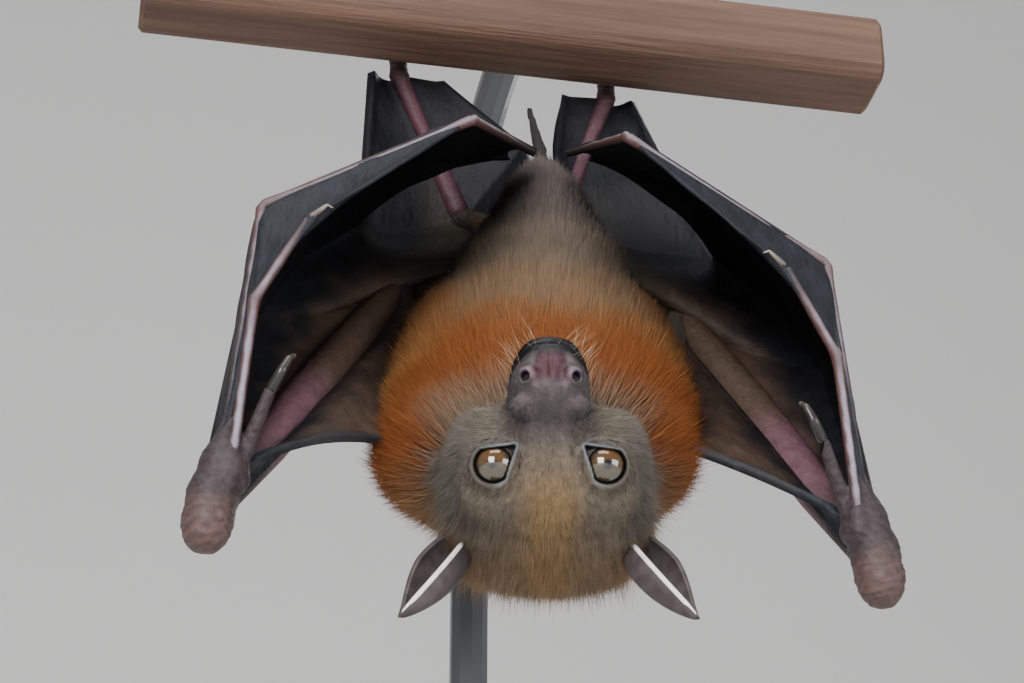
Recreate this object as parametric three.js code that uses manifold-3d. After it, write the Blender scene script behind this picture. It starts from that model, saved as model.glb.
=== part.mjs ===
// Short-nosed fruit bat, life size, hanging head down from a short cut length of batten.
// Millimetres, +Z up, the bat's front faces -Y, the stand's underside is at z = 0.
import * as THREE from 'three';
import { mergeVertices } from 'three/addons/utils/BufferGeometryUtils.js';
import Module from 'manifold-3d';

const wasm = await Module();
wasm.setup();

// ---- driving sizes ----
const BASE = { width: 104, depth: 92, thick: 8, corner: 9, edge: 1.2 };
const PERCH = { length: 104, depth: 12, height: 11, under: 220, corner: 2.2 };
const ROD = { radius: 2.6, back: 34, bend: 16, into: 0.3 };
const GAP = 0.3;                 // clearance between neighbouring nodes
const MEMBRANE = 0.6;            // thickness of the wing skin
const EAR_THICK = 0.8;
const FINEST = 0.1;              // smallest detail kept where solids are cut
const LEAN = 14;                 // degrees the trunk leans from the vertical
const TURN = 10;                 // degrees the head and trunk are turned to the bat's left
const SNOUT_RISE = 22;           // degrees the snout points above the horizontal
const HEAD_AT = [0, -19, 143];   // middle of the braincase
const ANKLE = [15, 9.4, 221.5];
const EYE_RADIUS = 2.9;
const SWING = 0.17;              // sideways trail of the wings for each mm toward the back

const rad = THREE.MathUtils.degToRad;
const vec = (p) => new THREE.Vector3(p[0], p[1], p[2]);
const mix = THREE.MathUtils.lerp;

// ---- body frame: everything of the trunk and head turns together about the head ----
const turnAbout = new THREE.Matrix4().makeTranslation(HEAD_AT[0], HEAD_AT[1], 0)
  .multiply(new THREE.Matrix4().makeRotationZ(rad(-TURN)))
  .multiply(new THREE.Matrix4().makeTranslation(-HEAD_AT[0], -HEAD_AT[1], 0));
const turned = (p) => vec(p).applyMatrix4(turnAbout).toArray();

// head axes: side, forward along the snout, up to the crown (which hangs lowest)
const forward = new THREE.Vector3(0, -Math.cos(rad(SNOUT_RISE)), Math.sin(rad(SNOUT_RISE)));
const crown = new THREE.Vector3(0, -Math.sin(rad(SNOUT_RISE)), -Math.cos(rad(SNOUT_RISE)));
const side = new THREE.Vector3(1, 0, 0);
const headPoint = ([s, f, c]) => turned(vec(HEAD_AT)
  .addScaledVector(side, s).addScaledVector(forward, f).addScaledVector(crown, c).toArray());
const headBasis = new THREE.Matrix4().makeBasis(side, forward, crown)
  .premultiply(new THREE.Matrix4().extractRotation(turnAbout));
const trunkBasis = new THREE.Matrix4().makeRotationX(rad(-LEAN))
  .premultiply(new THREE.Matrix4().extractRotation(turnAbout));

// ---- fields: smooth unions of ellipsoids, each [centre, radii, pitch about the side axis] ----
function ellipsoid(centre, radii, basis, pitch = 0) {
  const turn = basis.clone().multiply(new THREE.Matrix4().makeRotationX(rad(pitch)));
  return { centre: vec(centre), radii, inverse: turn.transpose() };
}
const inHead = ([c, r, pitch]) => ellipsoid(headPoint(c), r, headBasis, pitch);
const inTrunk = ([c, r, pitch]) => ellipsoid(turned(c), r, trunkBasis, pitch);
const bothSides = ([c, r, pitch]) => [[c, r, pitch], [[-c[0], c[1], c[2]], r, pitch]];

function ellipsoidDistance(e, p) {
  const q = p.clone().sub(e.centre).applyMatrix4(e.inverse);
  const k0 = Math.hypot(q.x / e.radii[0], q.y / e.radii[1], q.z / e.radii[2]);
  const k1 = Math.hypot(q.x / e.radii[0] ** 2, q.y / e.radii[1] ** 2, q.z / e.radii[2] ** 2);
  return k1 < 1e-9 ? -Math.min(...e.radii) : k0 * (k0 - 1) / k1;
}

const field = (parts, blend) => (p) => parts.reduce((sum, e) => {
  const d = ellipsoidDistance(e, p);
  const h = Math.max(blend - Math.abs(sum - d), 0) / blend;
  return Math.min(sum, d) - h * h * blend / 4;
}, 1e3);

const HEAD = field([
  ...[
    [[0, -1.0, 1.4], [11.9, 11.5, 10.3]],
    [[0, 9.0, -1.8], [5.6, 8.0, 5.0], -6],
    [[0, 15.2, -1.8], [3.9, 3.0, 3.1]],
    [[0, 9.2, -5.8], [4.5, 6.4, 3.0], 4],
    [[0, 14.4, -5.5], [4.0, 3.6, 2.7]],
  ],
  ...bothSides([[6.6, 2.0, -2.8], [5.2, 7.0, 6.2]]),
  ...bothSides([[6.0, 5.4, 5.0], [4.4, 4.0, 4.0]]),
].map(inHead), 3.5);
const NECK = field([
  [[-1.2, -12, 151.5], [20.9, 12.4, 12.6]],
  [[-0.9, -10, 157], [20.2, 12.2, 10]],
].map(inTrunk), 5);
const CHEST = field([
  [[-0.6, -7.5, 163], [19.4, 12.0, 15]],
  [[-0.7, -4.8, 171], [18.0, 11.4, 12]],
].map(inTrunk), 5);
const ABDOMEN = field([
  [[-0.1, -2.2, 181], [12.6, 10.0, 14]],
  [[0.4, 0.4, 192], [7.9, 7.6, 10]],
  [[0.2, 2.6, 199], [4.8, 4.9, 7.5]],
].map(inTrunk), 5);

// ---- solids ----
function solid(geometry) {
  const g = geometry.clone();
  g.deleteAttribute('normal');
  g.deleteAttribute('uv');
  const merged = mergeVertices(g, 1e-4);
  return new wasm.Manifold(new wasm.Mesh({
    numProp: 3,
    vertProperties: new Float32Array(merged.attributes.position.array),
    triVerts: new Uint32Array(merged.index.array),
  }));
}

function bend(geometry, place) {
  const at = geometry.attributes.position;
  for (let i = 0; i < at.count; i += 1) {
    const p = place(new THREE.Vector3().fromBufferAttribute(at, i));
    at.setXYZ(i, p.x, p.y, p.z);
  }
  return geometry;
}

// a ball pushed out to the surface of a field, its first pole toward `pole`
function wrap(distance, centre, pole, rounds, rows, crowd, grow = 0) {
  const reach = 45;
  const toPole = new THREE.Quaternion().setFromUnitVectors(new THREE.Vector3(0, 1, 0), pole);
  return solid(bend(new THREE.SphereGeometry(1, rounds, rows), (v) => {
    const polar = Math.PI * (Math.acos(THREE.MathUtils.clamp(v.y, -1, 1)) / Math.PI) ** crowd;
    const around = Math.atan2(v.z, v.x);
    const way = new THREE.Vector3(
      Math.sin(polar) * Math.cos(around), Math.cos(polar), Math.sin(polar) * Math.sin(around),
    ).applyQuaternion(toPole);
    let near = 0;
    let far = reach;
    for (let step = 0; step < 24; step += 1) {
      const middle = (near + far) / 2;
      const inside = distance(centre.clone().addScaledVector(way, middle)) < grow;
      if (inside) near = middle;
      else far = middle;
    }
    return centre.clone().addScaledVector(way, near);
  }));
}

const between = (list, t) => {
  const x = t * (list.length - 1);
  const i = Math.min(Math.floor(x), list.length - 2);
  return mix(list[i], list[i + 1], x - i);
};

// a line through joints, by the fraction of its straight pieces gone along
const chain = (points) => (t) => {
  const x = t * (points.length - 1);
  const i = THREE.MathUtils.clamp(Math.floor(x), 0, points.length - 2);
  return vec(points[i]).lerp(vec(points[i + 1]), x - i);
};

// a tapering rod along a line of joints, rounded at its ends
function limb(points, radii, { sides = 5, steps = 5, grow = 0, flat = 1, up = [0, 1, 0] } = {}) {
  const line = chain(points);
  const soft = 0.5 / steps;
  return solid(bend(new THREE.CylinderGeometry(1, 1, 1, sides, steps), (v) => {
    const t = 0.5 - v.y;
    const along = line(Math.min(t + soft, 1)).sub(line(Math.max(t - soft, 0))).normalize();
    const across = new THREE.Vector3().crossVectors(along, vec(up)).normalize();
    const upward = new THREE.Vector3().crossVectors(along, across);
    const end = Math.min(t, 1 - t) * steps;
    const r = between(radii, t) * (end < 0.5 ? 0.6 : 1) + grow;
    const reach = (t < 1e-6 ? -grow : 0) + (t > 1 - 1e-6 ? grow : 0);
    return line(t).addScaledVector(along, reach)
      .addScaledVector(across, v.x * r).addScaledVector(upward, v.z * r * flat);
  }));
}

// a thin curved sheet: surface(u, v) is its middle, `over` carries it past its edges
function sheet(surface, thick, across, down, over = 0) {
  const small = 1e-3;
  const box = new THREE.BoxGeometry(1, 1, 1, across, down, 1);
  const back = box.groups[5];
  for (let i = back.start; i < back.start + back.count; i += 6) {
    const [a, b, d, , c] = box.index.array.slice(i, i + 6);   // split the same way as the front
    box.index.array.set([a, b, c, a, c, d], i);
  }
  return solid(bend(box, (p) => {
    const [u, v] = [p.x, p.y].map((x) => 0.5 + x + (Math.abs(x) > 0.499 ? over * Math.sign(x) : 0));
    const [inU, inV] = [u, v].map((x) => THREE.MathUtils.clamp(x, small, 1 - small));
    const du = surface(inU + small, inV).sub(surface(inU - small, inV));
    const dv = surface(inU, inV + small).sub(surface(inU, inV - small));
    const normal = new THREE.Vector3().crossVectors(du, dv).normalize();
    return surface(u, v).addScaledVector(normal, Math.sign(p.z) * thick / 2);
  }));
}

function largest(body) {
  return body.decompose().reduce((best, piece) => (piece.volume() > best.volume() ? piece : best));
}
const cut = (body, ...others) => largest(
  others.reduce((rest, o) => rest.subtract(o), body).simplify(FINEST),
);

// ---- colours and the finished group ----
const bat = new THREE.Group();
function add(name, body, colour) {
  const mesh = body.getMesh();
  const g = new THREE.BufferGeometry();
  g.setAttribute('position', new THREE.BufferAttribute(new Float32Array(mesh.vertProperties), 3));
  g.setIndex(new THREE.BufferAttribute(new Uint32Array(mesh.triVerts), 1));
  g.computeVertexNormals();
  const made = new THREE.Mesh(g, new THREE.MeshStandardMaterial({ color: colour, roughness: 0.8 }));
  made.name = name;
  bat.add(made);
}
const COLOUR = {
  face: 0x7a6a58, collar: 0xa8561c, chest: 0x9a6a3c, belly: 0x7c6a56, wing: 0x23252b,
  bone: 0xa48a82, skin: 0x8a5f5c, claw: 0x2a2522, ear: 0x4a423e, eye: 0xa8741c,
  wood: 0x7a4a38, metal: 0x3a3c40, base: 0x2c2b2a,
};

// ---- head, neck and trunk ----
const headCentre = vec(headPoint([0, 1, 0]));
const snout = forward.clone().applyMatrix4(new THREE.Matrix4().extractRotation(turnAbout));
const makeHead = (grow) => wrap(HEAD, headCentre, snout, 16, 14, 1.35, grow);
const down = new THREE.Vector3(0, 0, -1).applyMatrix4(trunkBasis);
const makeNeck = (grow) => wrap(NECK, vec(turned([0, -11, 153])), down, 13, 8, 1, grow);
const makeChest = (grow) => wrap(CHEST, vec(turned([0, -6, 167])), down, 13, 8, 1, grow);
const makeAbdomen = (grow) => wrap(ABDOMEN, vec(turned([0, -1.2, 187])), down, 12, 8, 1, grow);
const eyePlace = (s) => headPoint([s * 6.15, 8.3, 4.7]);
const makeEye = (s, grow) => solid(new THREE.SphereGeometry(EYE_RADIUS + grow, 10, 7)
  .translate(...eyePlace(s)));

const headGrown = makeHead(GAP);
const neckGrown = makeNeck(GAP);
const chestGrown = makeChest(GAP);
const abdomenGrown = makeAbdomen(GAP);
const makeTail = (grow) => limb(
  [[0.8, 5.5, 203], [0.2, 8.6, 210.5], [-1.2, 9.4, 218]].map(turned),
  [1.3, 1.0, 0.5],
  { grow, steps: 4 },
);
const tailGrown = makeTail(GAP);
const trunkGrown = [headGrown, neckGrown, chestGrown, abdomenGrown];

// ---- wing joints of the right side; both wings trail a little to the right toward the back ----
const WRIST = [39, -21, 135.5];
const MCP3 = [35, -24.6, 175.2];
const IP3 = [9.6, -29.6, 187.6];
const MCP4 = [36.4, -14, 175.5];
const IP4 = [19.5, -8, 195.5];
const MCP5 = [37.6, -3, 172];
const IP5 = [33.5, 5, 186];
const TIP5 = [25, 9.5, 196.5];
const MIDARM = [30, -6.4, 160];
const ELBOW = [19.4, 8, 185.5];
const MCP2 = [35, -27.4, 160.5];
const END2 = [29, -29.6, 171];
const THUMB0 = [35.4, -22.5, 143.6];
const THUMB1 = [32.8, -26.4, 149];
const WRIST4 = [40.5, -19.8, 136.5];
const WRIST5 = [41, -17.8, 137.5];
const HALF5 = MCP5.map((x, i) => (x + WRIST5[i]) / 2);
const KNEE = [6.5, 14.5, 201.5];
const HIP = [4.6, 4.4, 193];
const OUTER_EDGE = [19, 9.6, 221.8];
const INNER_EDGE = [8.6, 10, 221.4];
const swung = (p, s) => [s * p[0] + SWING * (p[1] + 21), p[1], p[2]];

// ruled sheet between two lines, bowed by `bow` and drawn in at its free end by `scoop`
const ruled = (first, second, bow, scoop = 0) => (u, v) => {
  const fall = 4 * v * (1 - v);
  const t = u * (1 - scoop * fall * u);
  return first(t).multiplyScalar(1 - v).addScaledVector(second(t), v).addScaledVector(vec(bow), fall * Math.min(1, 3 * u));
};

for (const [tag, s] of [['left', -1], ['right', 1]]) {
  const m = (p) => swung(p, s);
  const own = (p) => [s * p[0], p[1], p[2]];
  const name = (part) => `${part}_${tag}`;
  const tip3 = turned([s * 2.0 + 1.2, -5.4, 200.5]);
  const tip4 = turned([s * 5.6 + 1.4, 2.0, 205]);
  const hip = turned([s * HIP[0] + 1.2, HIP[1], HIP[2]]);
  const flank = turned([s * 8 + 1, 5.4, 189]);
  const ankle = own(ANKLE);
  const knee = [s * KNEE[0] + 1.7, KNEE[1], KNEE[2]];

  const wrist = (grow) => limb(
    [m([39.5, -21.2, 132.2]), m([39.4, -21.2, 134.2]), m([38.9, -21.2, 137.6]), m([37.7, -21.8, 142])],
    [2.5, 3.1, 3.1, 2.5],
    { grow, sides: 8, steps: 6, flat: 0.85 },
  );
  const forearm = (grow) => limb([WRIST, MIDARM, ELBOW].map(m), [1.5, 1.8, 2.3],
    { grow, sides: 7 });
  const upperArm = (grow) => limb([turned([s * 13.2 + 0.8, -2, 157]), m([17.2, 3.4, 171]), m(ELBOW)],
    [4.0, 3.6, 2.3], { grow, sides: 8, steps: 5 });
  const thumb = (grow) => limb([[36.6, -22.6, 141], THUMB0, THUMB1].map(m), [1.3, 1.0, 0.85],
    { grow, steps: 4 });
  const thumbClaw = (grow) => limb(
    [THUMB1, [31.2, -28.2, 151.2], [31.0, -27.4, 153.3]].map(m),
    [0.85, 0.75, 0.3],
    { grow, steps: 4 },
  );
  const digit2 = (grow) => limb([[37, -23.2, 139.5], MCP2, END2].map(m), [0.9, 0.85, 0.6],
    { grow });
  const claw2 = (grow) => limb([END2, [27.5, -30.2, 172.2], [26.8, -29.6, 173.2]].map(m),
    [0.55, 0.5, 0.25], { grow, steps: 3 });
  const meta3 = (grow) => limb([[38.4, -21.6, 138], [36.9, -23.4, 156], MCP3].map(m),
    [0.95, 0.75, 0.95], { grow, steps: 4 });
  const first3 = (grow) => limb([MCP3, IP3].map(m), [0.95, 0.7, 0.85], { grow, steps: 4 });
  const second3 = (grow) => limb([m(IP3), tip3], [0.8, 0.6, 0.4], { grow, steps: 4 });
  const meta4 = (grow) => limb([WRIST4, MCP4].map(m), [0.8, 0.6, 0.75], { grow, steps: 4 });
  const last4 = (grow) => limb([m(MCP4), m(IP4), tip4], [0.75, 0.65, 0.4], { grow, steps: 4 });
  const meta5 = (grow) => limb([WRIST5, MCP5].map(m), [0.8, 0.65, 0.8], { grow, steps: 4 });
  const last5 = (grow) => limb([MCP5, IP5, TIP5].map(m), [0.8, 0.6, 0.4], { grow, steps: 4 });
  const thigh = (grow) => limb([hip, knee], [2.7, 1.9], { grow, steps: 4 });
  const shin = [s * 10.9 + 0.8, 12, 212];
  const shank = (grow) => limb([knee, shin, ankle], [1.7, 1.25, 1.2],
    { grow, steps: 4 });
  const foot = (grow) => {
    const [ax, , az] = ANKLE;
    let all = limb([own(ANKLE), own([ax + 0.2, 9.9, az + 4.5]), own([ax + 0.3, 8.3, az + 8.7])],
      [1.5, 2.0, 1.7], { grow, sides: 7, steps: 3, flat: 0.7 });
    for (let toe = -2; toe <= 2; toe += 1) {
      const x = ax + toe * 1.3;
      all = all.add(limb([
        own([ax + toe * 0.62, 8.6, 228.4]), own([x, 7.4, 232.4]), own([x, 4.2, 233.0]),
        own([x, 1.4, 231.7]),
      ], [0.8, 0.58, 0.54, 0.3], { grow, sides: 5, steps: 3 }));
    }
    return all;
  };

  // ear: a funnel open to the side, its front rim nearest the face
  const axis = new THREE.Vector3(s * 0.47, 0.04, 0.88).normalize();
  const front = new THREE.Vector3(-0.4 * s, 0.66, 0.2).projectOnPlane(axis).normalize();
  const outer = new THREE.Vector3().crossVectors(front, axis).multiplyScalar(s);
  const ear = (grow) => sheet((u, v) => {
    const radius = 2.8 * Math.sin(Math.PI * (0.2 + 0.78 * u) ** 0.9) ** 0.75 + 0.3;
    const turn = rad(95 + v * (235 - 150 * Math.max(u - 0.4, 0)));
    const at = new THREE.Vector3(s * 10.8, -3.7, 6.5)
      .addScaledVector(axis, 12.2 * u - 0.8)
      .addScaledVector(outer, radius * Math.cos(turn) + 0.3)
      .addScaledVector(front, radius * Math.sin(turn) * 0.62);
    return vec(headPoint(at.toArray()));
  }, EAR_THICK + 2 * grow, 6, 6);

  const grown = (...makers) => makers.map((make) => make(GAP));
  const put = (part, make, colour, ...others) => add(name(part), cut(make(0), ...others), colour);
  put('eye', (grow) => makeEye(s, grow), COLOUR.eye);
  put('ear', ear, COLOUR.ear, headGrown, neckGrown);
  put('upper_arm', upperArm, COLOUR.belly, ...trunkGrown);
  put('forearm', forearm, COLOUR.skin, ...grown(upperArm, wrist));
  put('wrist', wrist, COLOUR.skin);
  put('thumb', thumb, COLOUR.skin, ...grown(wrist));
  put('thumb_claw', thumbClaw, COLOUR.claw, ...grown(thumb));
  put('digit2', digit2, COLOUR.bone, ...grown(wrist, thumb));
  put('digit2_claw', claw2, COLOUR.claw, ...grown(digit2));
  put('digit3_metacarpal', meta3, COLOUR.bone, ...grown(wrist, digit2));
  put('digit3_first', first3, COLOUR.bone, ...grown(meta3));
  put('digit3_second', second3, COLOUR.bone, ...grown(first3), abdomenGrown);
  put('digit4_metacarpal', meta4, COLOUR.bone, ...grown(wrist, meta3));
  put('digit4_end', last4, COLOUR.bone, ...grown(meta4), abdomenGrown);
  put('digit5_metacarpal', meta5, COLOUR.bone, ...grown(wrist, meta4, forearm));
  put('digit5_end', last5, COLOUR.bone, ...grown(meta5));
  put('thigh', thigh, COLOUR.belly, abdomenGrown, ...grown(shank));
  put('shank', shank, COLOUR.skin, ...grown(foot));
  put('foot', foot, COLOUR.claw);

  // wing skin, panel by panel, each drawn in from the bones it hangs on
  const laid = [];
  const panel = (part, surface, across, down, fold, ...others) => {
    const skin = sheet(surface, MEMBRANE, across, down);
    const whole = fold ? skin.add(fold) : skin;
    add(name(part), cut(whole, ...others, ...laid), COLOUR.wing);
    laid.push(sheet(surface, MEMBRANE + 2 * GAP, across, down, 0.02));
  };
  const finger3 = chain([m(WRIST), m(MCP3), m(IP3), tip3]);
  const finger4 = chain([m(WRIST4), m(MCP4), m(IP4), tip4]);
  const finger5 = chain([WRIST5, MCP5, IP5, TIP5].map(m));
  const sideFold = sheet(ruled(
    chain([m(ELBOW), m([17.2, 3.4, 171]), turned([s * 13.2 + 0.8, -2, 157])]),
    chain([flank, turned([s * 9.5 + 1, 5, 178]), turned([s * 9 + 1, 3, 168])]),
    [0, 0.8, 0],
  ), MEMBRANE, 4, 2, 0.02);
  panel('membrane_2', ruled(
    chain([[37, -23.2, 139.5], MCP2, END2].map(m)),
    chain([[38.4, -21.6, 138], MCP3, IP3].map(m)),
    [0, -0.4, 0.2],
  ), 6, 1, null, ...grown(wrist, thumb, digit2, claw2, meta3, first3));
  panel('membrane_3', ruled(finger3, finger4, own([0.6, 0.6, 1.2]), 0.1), 6, 2, null,
    ...grown(wrist, meta3, first3, second3, meta4, last4), abdomenGrown);
  panel('membrane_4', ruled(finger4, finger5, own([0.6, 0.6, 1.2]), 0.12), 6, 2, null,
    ...grown(wrist, meta4, last4, meta5, last5), abdomenGrown);
  panel('membrane_5', ruled(
    chain([...[WRIST5, HALF5, MCP5, IP5, TIP5].map(m), own(OUTER_EDGE)]),
    chain([m(WRIST), m(MIDARM), m(ELBOW), flank, knee, ankle]),
    own([-0.6, 1.6, 0]),
  ), 10, 2, sideFold, ...grown(wrist, forearm, upperArm, meta5, last5, thigh, shank, foot),
  neckGrown, chestGrown, abdomenGrown);
  panel('membrane_front', ruled(
    chain([m([36, -21.4, 142]), m([27, -17, 148.6]), turned([s * 17, -14, 152])]),
    chain([m([37.6, -22, 136]), m([18.2, 5.6, 181]), turned([s * 13.2 + 0.8, -4.5, 157])]),
    [0, -0.6, -0.6],
  ), 6, 3, null, ...grown(wrist, forearm, upperArm, thumb, digit2), neckGrown, chestGrown);
  panel('membrane_tail', ruled(
    chain([own(INNER_EDGE), turned([s * 2.2 + 0.4, 8.4, 211]), turned([s * 1.8 + 0.8, 6.2, 204])]),
    chain([ankle, knee, hip]),
    [0, 0, 0],
  ), 6, 2, null, ...grown(thigh, shank, foot), abdomenGrown, tailGrown);
}

add('head', cut(makeHead(0), makeEye(-1, GAP), makeEye(1, GAP)), COLOUR.face);
add('neck', cut(makeNeck(0), headGrown), COLOUR.collar);
add('chest', cut(makeChest(0), headGrown, neckGrown), COLOUR.chest);
add('abdomen', cut(makeAbdomen(0), chestGrown, neckGrown), COLOUR.belly);
add('tail', cut(makeTail(0), abdomenGrown), COLOUR.wing);

// ---- perch, rod and base ----
function slab(width, depth, height, corner, edge) {
  const w = width / 2 - edge;
  const d = depth / 2 - edge;
  const shape = new THREE.Shape();
  shape.absarc(w - corner, d - corner, corner, 0, Math.PI / 2);
  shape.absarc(-w + corner, d - corner, corner, Math.PI / 2, Math.PI);
  shape.absarc(-w + corner, -d + corner, corner, Math.PI, Math.PI * 1.5);
  shape.absarc(w - corner, -d + corner, corner, Math.PI * 1.5, Math.PI * 2);
  shape.closePath();
  return new THREE.ExtrudeGeometry(shape, {
    depth: height - 2 * edge, bevelEnabled: true, bevelThickness: edge, bevelSize: edge,
    bevelSegments: 1, curveSegments: 2,
  }).translate(0, 0, edge);
}
const perch = solid(slab(PERCH.depth, PERCH.height, PERCH.length, PERCH.corner, 0.6)
  .rotateX(Math.PI / 2).rotateZ(Math.PI / 2)
  .translate(-PERCH.length / 2, 0, PERCH.under + PERCH.height / 2));
add('perch', perch, COLOUR.wood);
add('stand_base', solid(slab(BASE.width, BASE.depth, BASE.thick, BASE.corner, BASE.edge)),
  COLOUR.base);

const rodTop = PERCH.under + PERCH.height / 2;
const rodLine = new THREE.CurvePath();
const corner = vec([0, ROD.back, rodTop]);
const bendStart = vec([0, ROD.back, rodTop - ROD.bend]);
const bendEnd = vec([0, ROD.back - ROD.bend, rodTop]);
rodLine.add(new THREE.LineCurve3(vec([0, ROD.back, BASE.thick + GAP]), bendStart));
rodLine.add(new THREE.QuadraticBezierCurve3(bendStart, corner, bendEnd));
rodLine.add(new THREE.LineCurve3(bendEnd, vec([0, PERCH.depth / 2 + ROD.into, rodTop])));
const rodStops = [[0, 0], [0, 1]];
for (let i = 1; i <= 6; i += 1) rodStops.push([1, i / 6]);
rodStops.push([2, 1]);
const rod = solid(bend(new THREE.CylinderGeometry(1, 1, 1, 10, rodStops.length - 1), (v) => {
  const [piece, t] = rodStops[Math.round((0.5 - v.y) * (rodStops.length - 1))];
  const along = rodLine.curves[piece].getTangent(t);
  const upward = new THREE.Vector3().crossVectors(along, side);
  return rodLine.curves[piece].getPoint(t)
    .addScaledVector(side, v.x * ROD.radius).addScaledVector(upward, v.z * ROD.radius);
}));
add('stand_rod', rod, COLOUR.metal);

export default bat;
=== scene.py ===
# Looks of the hanging short-nosed fruit bat. Sizes below are millimetres; meshes are made in metres.
import math

import bpy
import numpy as np
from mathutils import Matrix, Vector


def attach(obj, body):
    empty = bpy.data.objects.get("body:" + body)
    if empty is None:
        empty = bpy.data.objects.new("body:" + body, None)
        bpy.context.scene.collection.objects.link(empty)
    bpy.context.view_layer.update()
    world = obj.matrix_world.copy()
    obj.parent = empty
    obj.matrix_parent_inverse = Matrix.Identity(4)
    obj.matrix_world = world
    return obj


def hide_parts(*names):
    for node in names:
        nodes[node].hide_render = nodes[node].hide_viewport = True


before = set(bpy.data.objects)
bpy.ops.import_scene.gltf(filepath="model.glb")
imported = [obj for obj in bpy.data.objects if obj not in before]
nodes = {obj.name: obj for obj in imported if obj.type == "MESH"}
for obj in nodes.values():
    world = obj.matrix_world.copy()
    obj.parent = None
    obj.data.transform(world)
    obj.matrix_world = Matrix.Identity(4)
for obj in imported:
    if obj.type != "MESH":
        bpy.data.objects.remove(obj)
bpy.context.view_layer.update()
rng = np.random.default_rng(7)
MM = 0.001

# ---- sizes shared with the solids
LEAN, TURN, SNOUT_RISE, SWING = 14.0, 10.0, 22.0, 0.17
HEAD_AT = np.array([0.0, -19.0, 143.0])
EYE_R = 2.9
NOSTRIL = np.array([2.95, 17.75, -0.05])
COLLAR_DEPTH, CHEST_DEPTH, BELLY_DEPTH = 4.2, 2.9, 2.0   # depth of the coat over the skin
NECK_JOIN = 3.6
TAIL_BARE_FROM = 207
ANKLE = (15, 9.4, 221.5)
WRIST, MCP3, IP3 = (39, -21, 135.5), (35, -24.6, 175.2), (9.6, -29.6, 187.6)
MCP4, IP4 = (36.4, -14, 175.5), (19.5, -8, 195.5)
MCP5, IP5, TIP5 = (37.6, -3, 172), (33.5, 5, 186), (25, 9.5, 196.5)
MIDARM, ELBOW = (30, -6.4, 160), (19.4, 8, 185.5)
MCP2, END2 = (35, -27.4, 160.5), (29, -29.6, 171)
THUMB0, THUMB1 = (35.4, -22.5, 143.6), (32.8, -26.4, 149)
WRIST4, WRIST5 = (40.5, -19.8, 136.5), (41, -17.8, 137.5)
KNEE, HIP = (6.5, 14.5, 201.5), (4.6, 4.4, 193)
OUTER_EDGE, INNER_EDGE = (19, 9.6, 221.8), (8.6, 10, 221.4)


def A(p):
    return np.asarray(p, float)


def rot_x(deg):
    c, s = math.cos(math.radians(deg)), math.sin(math.radians(deg))
    return np.array([[1, 0, 0], [0, c, -s], [0, s, c]])


def rot_z(deg):
    c, s = math.cos(math.radians(deg)), math.sin(math.radians(deg))
    return np.array([[c, -s, 0], [s, c, 0], [0, 0, 1]])


TURN_M = rot_z(-TURN)
TURN_C = A([HEAD_AT[0], HEAD_AT[1], 0])
rise = math.radians(SNOUT_RISE)
SIDE = TURN_M @ A([1, 0, 0])
FORWARD = TURN_M @ A([0, -math.cos(rise), math.sin(rise)])
CROWN = TURN_M @ A([0, -math.sin(rise), -math.cos(rise)])
HEAD_M = np.stack([SIDE, FORWARD, CROWN], 1)
TRUNK_M = TURN_M @ rot_x(-LEAN)


def turned(p):
    return (A(p) - TURN_C) @ TURN_M.T + TURN_C


def head_point(p):
    return HEAD_AT + HEAD_M @ A(p)


def to_head(p):
    return (p - HEAD_AT) @ HEAD_M


def swung(p, s):
    return A([s * p[0] + SWING * (p[1] + 21), p[1], p[2]])


def own(p, s):
    return A([s * p[0], p[1], p[2]])


def hip_at(s):
    return turned((s * HIP[0] + 1.2, HIP[1], HIP[2]))


def knee_at(s):
    return A([s * KNEE[0] + 1.7, KNEE[1], KNEE[2]])


def unit(v):
    return v / np.maximum(np.linalg.norm(v, axis=-1, keepdims=True), 1e-9)


def far(p, place):
    """Distance of each point from a place."""
    return np.linalg.norm(p - place, axis=1)


def step(x, a, b):
    t = np.clip((x - a) / (b - a), 0, 1)
    return t * t * (3 - 2 * t)


# ---- distance fields
def smin(a, b, k):
    h = np.maximum(k - np.abs(a - b), 0) / k
    return np.minimum(a, b) - h * h * k / 4


def smax(a, b, k):
    return -smin(-a, -b, k)


def ellipsoid(p, centre, radii, basis):
    q = (p - centre) @ basis
    k0 = np.linalg.norm(q / radii, axis=1)
    k1 = np.linalg.norm(q / A(radii) ** 2, axis=1)
    return k0 * (k0 - 1) / np.maximum(k1, 1e-6)


def cone(p, a, b, ra, rb):
    a, b = A(a), A(b)
    ab = b - a
    h = np.clip((p - a) @ ab / (ab @ ab), 0, 1)
    return np.linalg.norm(p - a - h[:, None] * ab, axis=1) - (ra + (rb - ra) * h)


def chain_field(p, points, radii, k=0.6):
    d = None
    for i in range(len(points) - 1):
        c = cone(p, points[i], points[i + 1], radii[i], radii[i + 1])
        d = c if d is None else smin(d, c, k)
    return d


def both(parts):
    return [q for c, r, t in parts for q in ((c, r, t), ((-c[0], c[1], c[2]), r, t))]


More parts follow.
